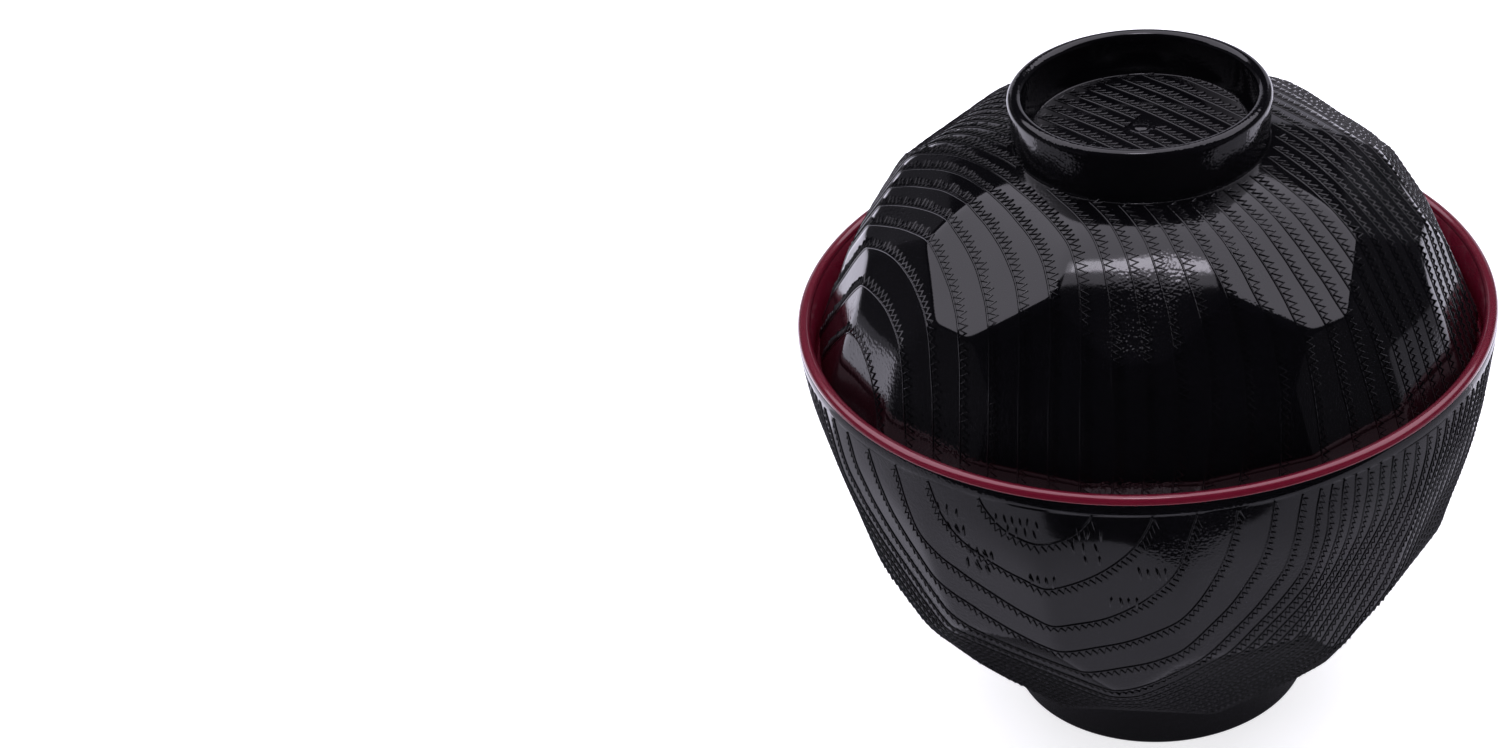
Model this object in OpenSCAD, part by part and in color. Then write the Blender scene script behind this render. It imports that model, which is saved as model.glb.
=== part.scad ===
// Rice bowl with a seated lid, millimetres, +Z up.
// Origin: centre of the foot, on the table.
// Bowl and lid are black mouldings with a red lacquer lining.

/* [Bowl] */
// outside diameter of the rim
rim_d = 118; // [90:1:150]
// height of the rim above the table
bowl_h = 76.5; // [60:0.5:100]
// wall at the foot of the wall facets, lining included, measured level
bowl_wall = 3.2; // [2.8:0.1:4]
// wall at the edge of the floor, lining included, measured square to the facets
base_wall = 2.5; // [2:0.1:3.5]
// thickness of the red lining, bowl and lid alike
lining_t = 0.8; // [0.5:0.1:1.2]
// thickness of the bowl's floor, lining included
floor_t = 4.5; // [3:0.5:8]
// plain band under the lip, height
band_h = 2; // [1:0.5:5]
// step from the plain band down to the grained wall
band_step = 0.2; // [0.1:0.05:0.4]
// height of the round wall between the band and the facets
round_h = 13.4; // [8:0.2:20]
// how far the round wall draws in over that height
round_draw = 1.4; // [0.5:0.1:3]

/* [Bowl facets] */
// facets in each row round the bowl
bowl_sides = 8; // [6:1:12]
// turn of the bowl's facet rows from the front, degrees
bowl_turn = -7.5; // [-22.5:0.5:22.5]
// head of the wall facets, in from the rim radius
wall_head_in = 2.6; // [2.2:0.1:3.2]
// head of the wall facets, down from the rim
wall_head_drop = 16.5; // [15:0.5:20]
// foot of the wall facets, in from the rim radius
wall_foot_in = 8.5; // [6:0.5:12]
// foot of the wall facets, height above the table
wall_foot_z = 38; // [34:0.5:42]
// lean of the wall facets from upright, degrees
wall_lean = 15; // [10:0.5:20]
// height where every second wall facet ends lower down
tip_z = 29.5; // [26:0.5:33]
// foot of the long lower facets, in from the rim radius
lower_foot_in = 17.5; // [14:0.5:22]
// foot of the long lower facets, height above the table
lower_foot_z = 23.5; // [20:0.5:27]
// foot of the short lower facets, in from the rim radius
short_foot_in = 18; // [15:0.5:24]
// foot of the short lower facets, height above the table
short_foot_z = 20; // [16:0.5:25]

/* [Foot] */
// outside diameter of the foot ring
foot_d = 53; // [44:0.5:64]
// height of the foot ring under the facets
foot_h = 8; // [5:0.5:12]
// wall of the foot ring
foot_wall = 3; // [2:0.5:5]
// depth of the recess under the bowl
foot_recess = 6.5; // [4:0.5:9]
// step from the foot ring out to the facets
join_step = 0.3; // [0.1:0.1:1]
// radius on the edges of the foot ring
foot_edge = 0.8; // [0.4:0.1:1]

/* [Seat] */
// depth of the lid seat below the rim
seat_depth = 8.5; // [6:0.5:12]
// width of the lip, from the rim in to the pocket
lip_w = 2.2; // [1.6:0.1:3]
// how much the pocket opens out towards the lip, on the radius
pocket_draft = 0.2; // [0:0.1:0.6]
// width of the ledge that carries the lid
ledge_w = 2.6; // [1.6:0.1:4]
// gap round the lid in its pocket, on the radius
lid_gap = 0.8; // [0.4:0.1:1.5]
// gap under the lid's edge
seat_gap = 0.05; // [0:0.05:0.3]

/* [Lid] */
// height of the lid from its seat to the top of the dome
lid_h = 39; // [34:0.5:48]
// wall near the lid's edge, lining included, measured level
lid_edge_wall = 3.8; // [3:0.1:5]
// wall at the foot of the middle facets, measured level
lid_wall = 5.1; // [4.5:0.1:6]
// wall at the head of the upper facets, measured level
lid_top_wall = 6.4; // [5.5:0.1:8]
// least wall of the dome round the grip ring, lining included, measured square
crown_wall = 2.5; // [2:0.1:3.5]
// thickness of the lid under the grip ring, lining included
crown_t = 4.3; // [3.5:0.1:8]
// fall of the dome from the grip ring outwards, degrees
crown_fall = 10; // [4:0.5:16]

/* [Lid facets] */
// facets in each row round the lid
lid_sides = 9; // [6:1:12]
// turn of the lid's facet rows from the front, degrees
lid_turn = -2; // [-20:0.5:20]
// head of the upper facets, in from the lid's edge radius
upper_in = 18.2; // [14:0.2:22]
// head of the upper facets, down from the top of the dome
upper_drop = 7.3; // [5:0.1:10]
// foot of the upper facets, in from the lid's edge radius
upper_foot_in = 9.5; // [7:0.5:12]
// foot of the upper facets, down from the top of the dome
upper_foot_drop = 14.5; // [12:0.5:18]
// head of the middle facets, in from the lid's edge radius
middle_in = 15.8; // [12:0.2:20]
// foot of the middle facets, in from the lid's edge radius
middle_foot_in = 6.6; // [4:0.2:9]
// foot of the middle facets, down from the top of the dome
middle_foot_drop = 21; // [18:0.5:25]
// foot of the edge facets, in from the lid's edge radius
edge_foot_in = 3; // [2:0.2:4]
// foot of the edge facets, down from the top of the dome
edge_foot_drop = 30; // [26:0.5:33]

/* [Grip ring] */
// outside diameter of the grip ring at the top
grip_d = 43.2; // [34:0.2:52]
// height of the grip ring above the dome
grip_h = 9; // [6:0.5:14]
// wall of the grip ring at the top
grip_wall = 2.6; // [1.8:0.1:4]
// how much the ring narrows towards the dome, on the radius
grip_taper = 0.5; // [0:0.1:1.5]
// depth of the recess inside the grip ring
recess_depth = 7; // [4:0.1:8]
// how much the recess narrows towards its floor, on the radius
recess_taper = 1; // [0.5:0.1:3]

/* [Hidden] */
$fn = 96;
big = 200;
rim_r = rim_d / 2;
foot_r = foot_d / 2;
seat_z = bowl_h - seat_depth;
bead_r = lip_w / 2;
lip_in = rim_r - lip_w;
pocket_r = lip_in - pocket_draft;
ledge_r = pocket_r - ledge_w;
lip_z = bowl_h - bead_r;
band_z = lip_z - band_h;
floor_z = foot_recess + floor_t;
// points of the bowl's facet rows: distance out from the axis, height
wall_head = [rim_r - wall_head_in, bowl_h - wall_head_drop];
wall_foot = [rim_r - wall_foot_in, wall_foot_z];
tip = [wall_head[0] - (wall_head[1] - tip_z) * tan(wall_lean), tip_z];
lower_foot = [rim_r - lower_foot_in, lower_foot_z];
short_foot = [rim_r - short_foot_in, short_foot_z];
foot_join = [foot_r + join_step, foot_h];
base_slope = steep(foot_join, short_foot);
floor_edge = [foot_join[0] + (floor_z - foot_h) / tan(base_slope) - base_wall / sin(base_slope), floor_z];
// lid heights and radii
lid_r = pocket_r - lid_gap;
edge_z = seat_z + seat_gap;
crown_z = seat_z + lid_h;
top_z = crown_z + grip_h;
recess_z = top_z - recess_depth;
ceil_z = recess_z - crown_t;
grip_r = grip_d / 2;
grip_foot_r = grip_r - grip_taper;
recess_r = grip_r - grip_wall;
roof_z = crown_z + grip_foot_r * tan(crown_fall) - crown_wall / cos(crown_fall);
// points of the lid's facet rows
upper_head = [lid_r - upper_in, crown_z - upper_drop];
upper_foot = [lid_r - upper_foot_in, crown_z - upper_foot_drop];
middle_head = [lid_r - middle_in, crown_z - upper_drop];
middle_foot = [lid_r - middle_foot_in, crown_z - middle_foot_drop];
edge_foot = [lid_r - edge_foot_in, crown_z - edge_foot_drop];
// arcs of the two hollows, each through three points
bowl_arc = circle3([ledge_r, seat_z],
                   [wall_foot[0] - bowl_wall, wall_foot_z],
                   floor_edge);
lid_arc = circle3([lid_r - lid_edge_wall, edge_z + 3],
                  [middle_foot[0] - lid_wall, middle_foot[1] + 2],
                  [upper_head[0] - lid_top_wall, upper_head[1]]);

// centre x, centre y and radius of the circle through three points
function circle3(a, b, c) =
  let (d = 2 * (a[0] * (b[1] - c[1]) + b[0] * (c[1] - a[1]) + c[0] * (a[1] - b[1])),
       a2 = a[0] * a[0] + a[1] * a[1],
       b2 = b[0] * b[0] + b[1] * b[1],
       c2 = c[0] * c[0] + c[1] * c[1],
       x = (a2 * (b[1] - c[1]) + b2 * (c[1] - a[1]) + c2 * (a[1] - b[1])) / d,
       y = (a2 * (c[0] - b[0]) + b2 * (a[0] - c[0]) + c2 * (b[0] - a[0])) / d)
  [x, y, sqrt((a[0] - x) * (a[0] - x) + (a[1] - y) * (a[1] - y))];

// degrees between the table and the line from one point to the other
function steep(a, b) = atan2(abs(a[1] - b[1]), abs(a[0] - b[0]));

// everything outside one flat cut; the cut faces up on the lid, down on the bowl
module flat_cut(turn, at, slope, up) {
  rotate([0, 0, turn - 90])
    translate([at[0], 0, at[1]])
      rotate([0, up ? slope - 90 : 90 - slope, 0])
        translate([0, -big / 2, -big / 2])
          cube([big, big, big]);
}

// a row of flat cuts round the axis
module cut_row(count, turn, at, slope, up) {
  for (i = [0 : count - 1])
    flat_cut(turn + i * 360 / count, at, slope, up);
}

// half section of the bowl's hollow, grown by a skin
module bowl_hollow(skin) {
  intersection() {
    translate([bowl_arc[0], bowl_arc[1]])
      circle(r = bowl_arc[2] + skin, $fn = 360);
    translate([0, floor_z - skin])
      square([rim_r, seat_z - floor_z + 0.01]);
  }
  polygon([[0, seat_z - skin], [pocket_r + skin, seat_z - skin],
           [pocket_r + skin, seat_z], [lip_in + skin, lip_z],
           [lip_in + skin, bowl_h + 5], [0, bowl_h + 5]]);
}

// half section of the lid's hollow, grown by a skin; its roof stays under the dome
module lid_hollow(skin) {
  fall = tan(crown_fall);
  roof = roof_z + skin / cos(crown_fall);
  intersection() {
    union() {
      translate([lid_arc[0], lid_arc[1]])
        circle(r = lid_arc[2] + skin, $fn = 360);
      translate([0, lid_arc[1]])
        square([max(lid_arc[0], 1), lid_arc[2] + skin]);
    }
    polygon([[0, edge_z - 5], [rim_r, edge_z - 5], [rim_r, roof - rim_r * fall],
             [(roof - ceil_z - skin) / fall, ceil_z + skin], [0, ceil_z + skin]]);
  }
}

// round blank with the bowl's facets cut on it
module bowl_outside() {
  difference() {
    rotate_extrude($fn = 180)
      polygon([[0, foot_h], [rim_r - band_step - round_draw - 1, foot_h],
               [rim_r - band_step - round_draw, band_z - round_h],
               [rim_r - band_step, band_z], [rim_r, band_z],
               [rim_r, lip_z], [0, lip_z]]);
    cut_row(2 * bowl_sides, bowl_turn, wall_head, 90 - wall_lean, false);
    cut_row(bowl_sides, bowl_turn + 180 / bowl_sides, wall_foot, steep(wall_foot, lower_foot), false);
    cut_row(bowl_sides, bowl_turn, tip, steep(tip, short_foot), false);
    cut_row(bowl_sides, bowl_turn, foot_join, base_slope, false);
  }
}

// foot ring, edges rounded on the table side
module foot_ring() {
  rotate_extrude($fn = 180)
    union() {
      polygon([[foot_r - foot_wall, foot_edge], [foot_r, foot_edge],
               [foot_r, foot_h + 1], [0, foot_h + 1], [0, foot_recess],
               [foot_r - foot_wall, foot_recess]]);
      translate([foot_r - foot_wall + foot_edge, 0])
        square([foot_wall - 2 * foot_edge, foot_edge + 0.01]);
      translate([foot_r - foot_edge, foot_edge])
        circle(r = foot_edge, $fn = 48);
      translate([foot_r - foot_wall + foot_edge, foot_edge])
        circle(r = foot_edge, $fn = 48);
    }
}

// black moulding of the bowl: faceted outside, plain lip band and foot ring
module bowl_body() {
  color([0.03, 0.03, 0.04])
    difference() {
      union() {
        bowl_outside();
        foot_ring();
      }
      rotate_extrude($fn = 180)
        bowl_hollow(lining_t);
    }
}

// red lining of the bowl with its rounded lip and the lid's seat
module bowl_lining() {
  color([0.5, 0.05, 0.14])
    rotate_extrude($fn = 180)
      difference() {
        union() {
          intersection() {
            bowl_hollow(lining_t);
            square([rim_r, lip_z]);
          }
          intersection() {
            translate([rim_r - bead_r, lip_z])
              circle(r = bead_r, $fn = 48);
            translate([0, lip_z])
              square([rim_r, bead_r]);
          }
        }
        bowl_hollow(0);
        translate([0, lip_z])
          square([lip_in, bead_r + 1]);
      }
}

// round blank of the lid with its facets cut on it
module lid_outside() {
  lean = tan(crown_fall);
  difference() {
    rotate_extrude($fn = 180)
      polygon([[0, edge_z], [lid_r, edge_z],
               [lid_r, crown_z - (lid_r - grip_foot_r) * lean],
               [grip_foot_r, crown_z], [0, crown_z]]);
    cut_row(lid_sides, lid_turn, upper_head, steep(upper_head, upper_foot), true);
    cut_row(lid_sides, lid_turn + 180 / lid_sides, middle_head,
            steep(middle_head, middle_foot), true);
    cut_row(lid_sides, lid_turn, upper_foot, steep(upper_foot, edge_foot), true);
    cut_row(lid_sides, lid_turn + 180 / lid_sides, middle_foot,
            steep(middle_foot, edge_foot), true);
  }
}

// grip ring on the dome with a rounded top edge
module grip_ring() {
  round_r = grip_wall / 2;
  rotate_extrude($fn = 180)
    union() {
      polygon([[0, ceil_z], [grip_foot_r, ceil_z], [grip_foot_r, crown_z - 1],
               [grip_r, top_z - round_r], [recess_r, top_z - round_r],
               [recess_r - recess_taper, recess_z], [0, recess_z]]);
      translate([grip_r - round_r, top_z - round_r])
        circle(r = round_r, $fn = 48);
    }
}

// black moulding of the lid: faceted dome and grip ring
module lid_body() {
  color([0.03, 0.03, 0.04])
    difference() {
      union() {
        lid_outside();
        grip_ring();
      }
      rotate_extrude($fn = 180)
        lid_hollow(lining_t);
    }
}

// red lining under the lid
module lid_lining() {
  color([0.5, 0.05, 0.14])
    rotate_extrude($fn = 180)
      difference() {
        intersection() {
          lid_hollow(lining_t);
          translate([0, edge_z])
            square([lid_r, lid_h + grip_h]);
        }
        lid_hollow(0);
      }
}

bowl_body();
bowl_lining();
lid_body();
lid_lining();
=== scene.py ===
"""Lidded rice bowl in moulded gloss: black faceted, grained shells over a wine-red lining."""

import logging
import math
from dataclasses import dataclass, field
from enum import Enum
from typing import Any

import bpy
import numpy as np
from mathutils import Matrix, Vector


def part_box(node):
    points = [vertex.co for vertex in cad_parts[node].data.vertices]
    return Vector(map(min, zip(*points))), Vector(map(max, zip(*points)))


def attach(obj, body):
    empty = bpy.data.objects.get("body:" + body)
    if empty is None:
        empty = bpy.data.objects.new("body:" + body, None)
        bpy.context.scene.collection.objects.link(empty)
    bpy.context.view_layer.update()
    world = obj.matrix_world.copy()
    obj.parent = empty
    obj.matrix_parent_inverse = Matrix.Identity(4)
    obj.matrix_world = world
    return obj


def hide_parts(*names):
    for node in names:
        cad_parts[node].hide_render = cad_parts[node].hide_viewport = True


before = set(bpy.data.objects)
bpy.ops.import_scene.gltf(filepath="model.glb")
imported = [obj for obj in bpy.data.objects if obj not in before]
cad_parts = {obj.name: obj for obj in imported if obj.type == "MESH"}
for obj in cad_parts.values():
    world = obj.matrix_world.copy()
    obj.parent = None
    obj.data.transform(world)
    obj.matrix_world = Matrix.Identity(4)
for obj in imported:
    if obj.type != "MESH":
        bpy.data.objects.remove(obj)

LOG = logging.getLogger("rice_bowl")
MM = 0.001
# Distance out at which a turned section stops, in millimetres; a pole closes it.
POLE = 0.4
# Least length that a vector is divided by.
TINY = 1e-9
Triple = tuple[float, float, float]
Pair = tuple[float, float]
Points = np.ndarray


class Body(Enum):
    """The two loose things that the object comes apart into."""

    BOWL = "bowl"
    LID = "lid"


class Slot(Enum):
    """The two finishes that the mouldings carry."""

    BLACK = "black_shell"
    RED = "red_lining"


# ---------------------------------------------------------------- node wiring


class Wire:
    """A node's output, with arithmetic that adds Math nodes to its tree."""

    def __init__(self, board: "Board", socket: bpy.types.NodeSocket) -> None:
        """Keeps the tree and the socket together."""
        self.board = board
        self.socket = socket

    def __add__(self, other: "Wire | float") -> "Wire":
        """Gives self + other."""
        return self.board.math("ADD", self, other)

    def __mul__(self, other: "Wire | float") -> "Wire":
        """Gives self * other."""
        return self.board.math("MULTIPLY", self, other)

    def __rsub__(self, other: float) -> "Wire":
        """Gives other - self."""
        return self.board.math("SUBTRACT", other, self)

    __radd__ = __add__
    __rmul__ = __mul__


class Board:
    """A node tree being wired, for a material or for geometry."""

    def __init__(self, tree: bpy.types.NodeTree) -> None:
        """Starts on an empty tree."""
        self.tree = tree

    def node(self, kind: str, settings: dict[str, Any] | None = None,
             output: int | str = 0, **sockets: Any) -> Wire:
        """Adds a node of any kind.

        Args:
            kind: the node's type name.
            settings: attributes set before its sockets are.
            output: the output that is returned, by index or name.
            sockets: values or wires by socket name, spaces written as _, or by index as _0.

        Returns:
            The chosen output.
        """
        made = self.tree.nodes.new(kind)
        for name, value in (settings or {}).items():
            setattr(made, name, value)
        for name, value in sockets.items():
            index = name[1:]
            key = int(index) if name[0] == "_" and index.isdigit() else name.replace("_", " ")
            self.feed(made.inputs[key], value)
        return Wire(self, made.outputs[output])

    def feed(self, socket: bpy.types.NodeSocket, value: Any) -> None:
        """Fills an input.

        Args:
            socket: the input.
            value: a wire or a list of wires to link, or a plain value.
        """
        for one in value if isinstance(value, list) else [value]:
            if isinstance(one, Wire):
                self.tree.links.new(one.socket, socket)
            else:
                socket.default_value = one

    def math(self, operation: str, a: Wire | float, b: Wire | float) -> Wire:
        """Adds one Math node."""
        return self.node("ShaderNodeMath", {"operation": operation}, _0=a, _1=b)

    def vector(self, operation: str, a: Wire, b: Wire | Triple) -> Wire:
        """Adds one Vector Math node."""
        return self.node("ShaderNodeVectorMath", {"operation": operation}, _0=a, _1=b)

    def scaled(self, vector: Wire, by: Wire | float) -> Wire:
        """Scales a vector."""
        return self.node("ShaderNodeVectorMath", {"operation": "SCALE"}, Vector=vector, Scale=by)

    def ramp(self, value: Wire, span: Pair) -> Wire:
        """Maps a stretch of values to a smooth 0 to 1."""
        return self.node("ShaderNodeMapRange", {"interpolation_type": "SMOOTHSTEP"},
                         Value=value, From_Min=span[0], From_Max=span[1])

    def mix(self, factor: Wire | float, a: Triple, b: Triple) -> Wire:
        """Mixes two colours."""
        return self.node("ShaderNodeMix", {"data_type": "RGBA"}, output=2,
                         _0=factor, _6=rgba(a), _7=rgba(b))

    def noise(self, place: Wire, scale: float, detail: float, roughness: float = 0.5) -> Wire:
        """Adds one Noise Texture node, its result a number from 0 to 1."""
        return self.node("ShaderNodeTexNoise", Vector=place, Scale=scale, Detail=detail,
                         Roughness=roughness)

    def random(self, low: float, high: float, seed: int) -> Wire:
        """Draws a number between two limits for each point."""
        return self.node("FunctionNodeRandomValue", {"data_type": "FLOAT"}, output=1,
                         _2=low, _3=high, Seed=seed)


# ------------------------------------------------------------------- finishes


def shader_board(name: str) -> tuple[bpy.types.Material, Board]:
    """Makes an empty node material.

    Args:
        name: the material's name.

    Returns:
        The material and its board.
    """
    material = bpy.data.materials.new(name)
    material.use_nodes = True
    material.node_tree.nodes.clear()
    return material, Board(material.node_tree)


def rgba(colour: Triple) -> tuple[float, float, float, float]:
    """Adds a full alpha to a colour."""
    return (*colour, 1.0)


def finish(board: Board, shader: Wire) -> None:
    """Ends a material's tree with its output."""
    end = board.tree.nodes.new("ShaderNodeOutputMaterial")
    board.tree.links.new(shader.socket, end.inputs["Surface"])


@dataclass(frozen=True)
class BlackGloss:
    """Black moulding gloss: deep colour under a polished skin.

    The skin has a faint orange peel, upright fibre lines, and pebbled patches here and there.
    Scales are per metre, the peel's size and all heights are in millimetres.
    """

    name: str = "black_moulding_gloss"
    deep: Triple = (0.0012, 0.0012, 0.0016)
    worn: Triple = (0.0032, 0.003, 0.0038)
    shine: Pair = (0.05, 0.12)
    cloud_scale: float = 45.0
    fine_scale: float = 420.0
    peel_size: float = 1.1
    peel_height: float = 0.0035
    pebble_scale: float = 1900.0
    pebble_height: float = 0.045
    patches: Pair = (0.44, 0.66)
    fibre_scale: Triple = (2600.0, 2600.0, 130.0)
    fibre_height: float = 0.002

    def material(self) -> bpy.types.Material:
        """Wires the finish.

        Returns:
            The material.
        """
        material, board = shader_board(self.name)
        place = board.node("ShaderNodeTexCoord", output="Object")
        cloud = board.noise(place, self.cloud_scale, 3.0)
        fine = board.noise(place, self.fine_scale, 4.0, 0.6)
        peel = board.noise(place, 1 / (self.peel_size * MM), 1.5)
        pebble = board.node("ShaderNodeTexVoronoi", {"feature": "SMOOTH_F1"}, Vector=place,
                            Scale=self.pebble_scale, Smoothness=0.6)
        fibre = board.noise(board.vector("MULTIPLY", place, self.fibre_scale), 1.0, 2.0)
        patch = board.ramp(cloud, self.patches)
        skin = peel * (self.peel_height * MM) + fibre * (self.fibre_height * MM)
        skin = skin + (1.0 - pebble) * patch * (self.pebble_height * MM)
        normal = board.node("ShaderNodeBump", Height=skin, Strength=1.0, Distance=1.0)
        low, high = self.shine
        rough = low + (fine * 0.5 + cloud * 0.5) * (high - low)
        colour = board.mix(cloud, self.deep, self.worn)
        shader = board.node("ShaderNodeBsdfPrincipled", Base_Color=colour, Roughness=rough,
                            Normal=normal, IOR=1.5)
        finish(board, shader)
        return material


@dataclass(frozen=True)
class RedLacquer:
    """Wine-red lacquer: a warm red with a faint metal flake under a clear, slightly wavy coat.

    Scales are per metre, the peel's size and all heights are in millimetres.
    """

    name: str = "wine_red_lacquer"
    deep: Triple = (0.12, 0.004, 0.015)
    bright: Triple = (0.19, 0.008, 0.028)
    flake: float = 0.35
    cloud_scale: float = 30.0
    flake_scale: float = 5200.0
    glints: Pair = (0.5, 0.75)
    shine: Pair = (0.2, 0.3)
    coat: Pair = (0.8, 0.06)
    peel_size: float = 2.6
    peel_height: float = 0.006

    def material(self) -> bpy.types.Material:
        """Wires the finish.

        Returns:
            The material.
        """
        material, board = shader_board(self.name)
        place = board.node("ShaderNodeTexCoord", output="Object")
        cloud = board.noise(place, self.cloud_scale, 2.0)
        glint = board.ramp(board.noise(place, self.flake_scale, 1.0), self.glints)
        peel = board.noise(place, 1 / (self.peel_size * MM), 1.0)
        colour = board.mix(cloud * 0.6 + glint * 0.4, self.deep, self.bright)
        normal = board.node("ShaderNodeBump", Height=peel * (self.peel_height * MM),
                            Strength=1.0, Distance=1.0)
        low, high = self.shine
        weight, rough = self.coat
        shader = board.node("ShaderNodeBsdfPrincipled", Base_Color=colour,
                            Metallic=self.flake * (0.6 + glint * 0.8),
                            Roughness=low + cloud * (high - low), Normal=normal, IOR=1.5,
                            Coat_Weight=weight, Coat_Roughness=rough)
        finish(board, shader)
        return material


@dataclass(frozen=True)
class StudioPaper:
    """Plain pale paper of the floor and its low surround."""

    name: str = "studio_paper"
    colour: Triple = (0.86, 0.86, 0.87)
    fleck: float = 0.98
    fleck_scale: float = 60.0
    glow: float = 0.85

    def material(self) -> bpy.types.Material:
        """Wires the finish.

        Returns:
            The material.
        """
        material, board = shader_board(self.name)
        place = board.node("ShaderNodeTexCoord", output="Object")
        fleck = board.noise(place, self.fleck_scale, 3.0)
        colour = board.mix(fleck, self.colour, tuple(c * self.fleck for c in self.colour))
        shader = board.node("ShaderNodeBsdfPrincipled", Base_Color=colour, Roughness=0.9,
                            Emission_Color=rgba(self.colour), Emission_Strength=self.glow)
        finish(board, shader)
        return material


# ----------------------------------------------------------- shapes by formula


def slope_between(a: Pair, b: Pair) -> float:
    """Gives the steepness of a line of a half section, degrees from level."""
    return math.degrees(math.atan2(abs(a[1] - b[1]), abs(a[0] - b[0])))


@dataclass(frozen=True)
class Cut:
    """A face of a faceted form: flat ones look towards an azimuth, the others run all round.

    Broad faces melt into the flat ones over a wide stretch.
    """

    at: Pair
    steep: float
    up: bool
    turn: float | None = None
    broad: bool = False

    @property
    def square(self) -> Pair:
        """Gives the level and the upright share of the way that the face looks."""
        steep = math.radians(self.steep)
        return math.sin(steep), math.cos(steep) * (1 if self.up else -1)

    def side(self, azimuth: Points, across: Points, rise: Points) -> Points:
        """Gives how fast a ray leaves through the face.

        Args:
            azimuth: azimuths of the rays, radians.
            across: the rays' level share.
            rise: the rays' upright share.

        Returns:
            The rays' share square to the face.
        """
        out, lift = self.square
        level = across * out
        if self.turn is not None:
            level = level * np.cos(azimuth - math.radians(self.turn))
        return level + rise * lift

    def reach(self, start: Points) -> Points:
        """Gives the face's distance from points on the axis at these heights."""
        out, lift = self.square
        return self.at[0] * out + (self.at[1] - start) * lift


def cut_row(count: int, turn: float, at: Pair, steep: float, up: bool) -> list[Cut]:
    """Repeats a flat face round the axis, the first one at an azimuth in degrees."""
    return [Cut(at, steep, up, turn + 360 / count * k) for k in range(count)]


def ripple(points: Points, length: float, seed: int, waves: int = 9) -> Points:
    """Gives a smooth unevenness, about -1 to 1, from waves in seeded directions.

    Args:
        points: places, any shape with a last axis of 3.
        length: wave length in the units of points.
        seed: picks the directions.
        waves: how many waves are added up.

    Returns:
        One number for each place.
    """
    dice = np.random.default_rng(seed)
    total = np.zeros(points.shape[:-1])
    for _ in range(waves):
        way = dice.normal(size=3)
        way *= 2 * math.pi / (length * dice.uniform(0.6, 1.6)) / np.linalg.norm(way)
        total += np.sin(points @ way + dice.uniform(0, 2 * math.pi))
    return total / math.sqrt(waves)


def unit(vectors: Points) -> Points:
    """Brings vectors to unit length."""
    return vectors / np.maximum(np.linalg.norm(vectors, axis=-1, keepdims=True), TINY)


def around(out: Points, up: Points, columns: int) -> Points:
    """Lays rows of points round the axis, from the front on.

    Args:
        out: distances from the axis, rows by columns or rows by 1.
        up: heights in the same layout.
        columns: points in a row.

    Returns:
        Points, rows by columns by 3.
    """
    azimuth = np.arange(columns) * 2 * math.pi / columns
    x = out * np.sin(azimuth)
    y = -out * np.cos(azimuth)
    return np.stack([x, y, np.broadcast_to(up, x.shape)], -1)


@dataclass
class FacetedForm:
    """A shell's outside as faces that melt into each other over soft edges."""

    cuts: list[Cut]
    softness: float
    blend: float
    unevenness: float
    seed: int
    wave: float = 16.0
    passes: int = 7
    slowest: float = 1e-3
    farthest: float = 1e3

    def rows(self, start: Points, across: Points, rise: Points, columns: int) -> Points:
        """Shoots rays from the axis to the form's skin.

        Args:
            start: heights on the axis, one for each row.
            across: the level share of each row's rays.
            rise: the upright share of each row's rays.
            columns: rays in a row.

        Returns:
            Points, rows by columns by 3, in millimetres.
        """
        azimuth = np.arange(columns) * 2 * math.pi / columns
        start, level, lift = (x[:, None] for x in (start, across, rise))
        still = np.zeros((len(start), columns))
        speed = np.stack([cut.side(azimuth, level, lift) + still for cut in self.cuts])
        reach = np.stack([cut.reach(start) + still for cut in self.cuts])
        hit = np.where(speed > self.slowest, reach / np.maximum(speed, self.slowest), self.farthest)
        length = hit.min(0)
        broad = np.array([cut.broad for cut in self.cuts])
        for _ in range(self.passes):
            past = speed * length - reach
            sides = [self.melt(past[kind], speed[kind], self.softness) for kind in (~broad, broad)]
            miss, rate = self.melt(*(np.stack(x) for x in zip(*sides)), self.blend)
            length = length - miss / rate
        flat = around(length * level, start + length * lift, columns)
        length = length + self.unevenness * ripple(flat, self.wave, self.seed)
        return around(length * level, start + length * lift, columns)

    @staticmethod
    def melt(past: Points, speed: Points, softness: float) -> tuple[Points, Points]:
        """Joins faces into one that rounds off where they meet.

        Args:
            past: how far a point lies past each face, faces first.
            speed: how fast each of these grows along the ray.
            softness: size of the rounding.

        Returns:
            How far the point lies past the joined face, and how fast that grows.
        """
        top = past.max(0)
        weight = np.exp((past - top) / softness)
        total = weight.sum(0)
        return top + np.log(total) * softness, (weight * speed).sum(0) / total


def arc(centre: Pair, radius: float, first: float, last: float, steps: int) -> list[Pair]:
    """Gives a round stretch of a half section, angles in degrees, 0 outwards and 90 up."""
    turns = np.radians(np.linspace(first, last, steps + 1))
    return [(centre[0] + radius * math.cos(t), centre[1] + radius * math.sin(t)) for t in turns]


def beside(corner: tuple[Pair, ...], out: float, up: float) -> list[Pair]:
    """Places the points of a small corner, which are measured from its place."""
    return [(out + across, up + rise) for across, rise in corner]


def bent_wall(through: tuple[Pair, Pair, Pair], skin: float, heights: Pair,
              steps: int = 40) -> list[Pair]:
    """Bends a wall on the circle through three points of a half section.

    Args:
        through: the three points.
        skin: how far the circle is grown.
        heights: where the wall begins and ends.
        steps: gaps between points.

    Returns:
        The wall's points.
    """
    a, *others = through
    rows = np.array([[2 * (a[0] - p[0]), 2 * (a[1] - p[1])] for p in others])
    sums = np.array([a[0] ** 2 + a[1] ** 2 - p[0] ** 2 - p[1] ** 2 for p in others])
    x, y = (float(value) for value in np.linalg.solve(rows, sums))
    radius = math.hypot(a[0] - x, a[1] - y) + skin
    first, last = (math.degrees(math.asin((height - y) / radius)) for height in heights)
    return arc((x, y), radius, first, last, steps)


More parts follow.
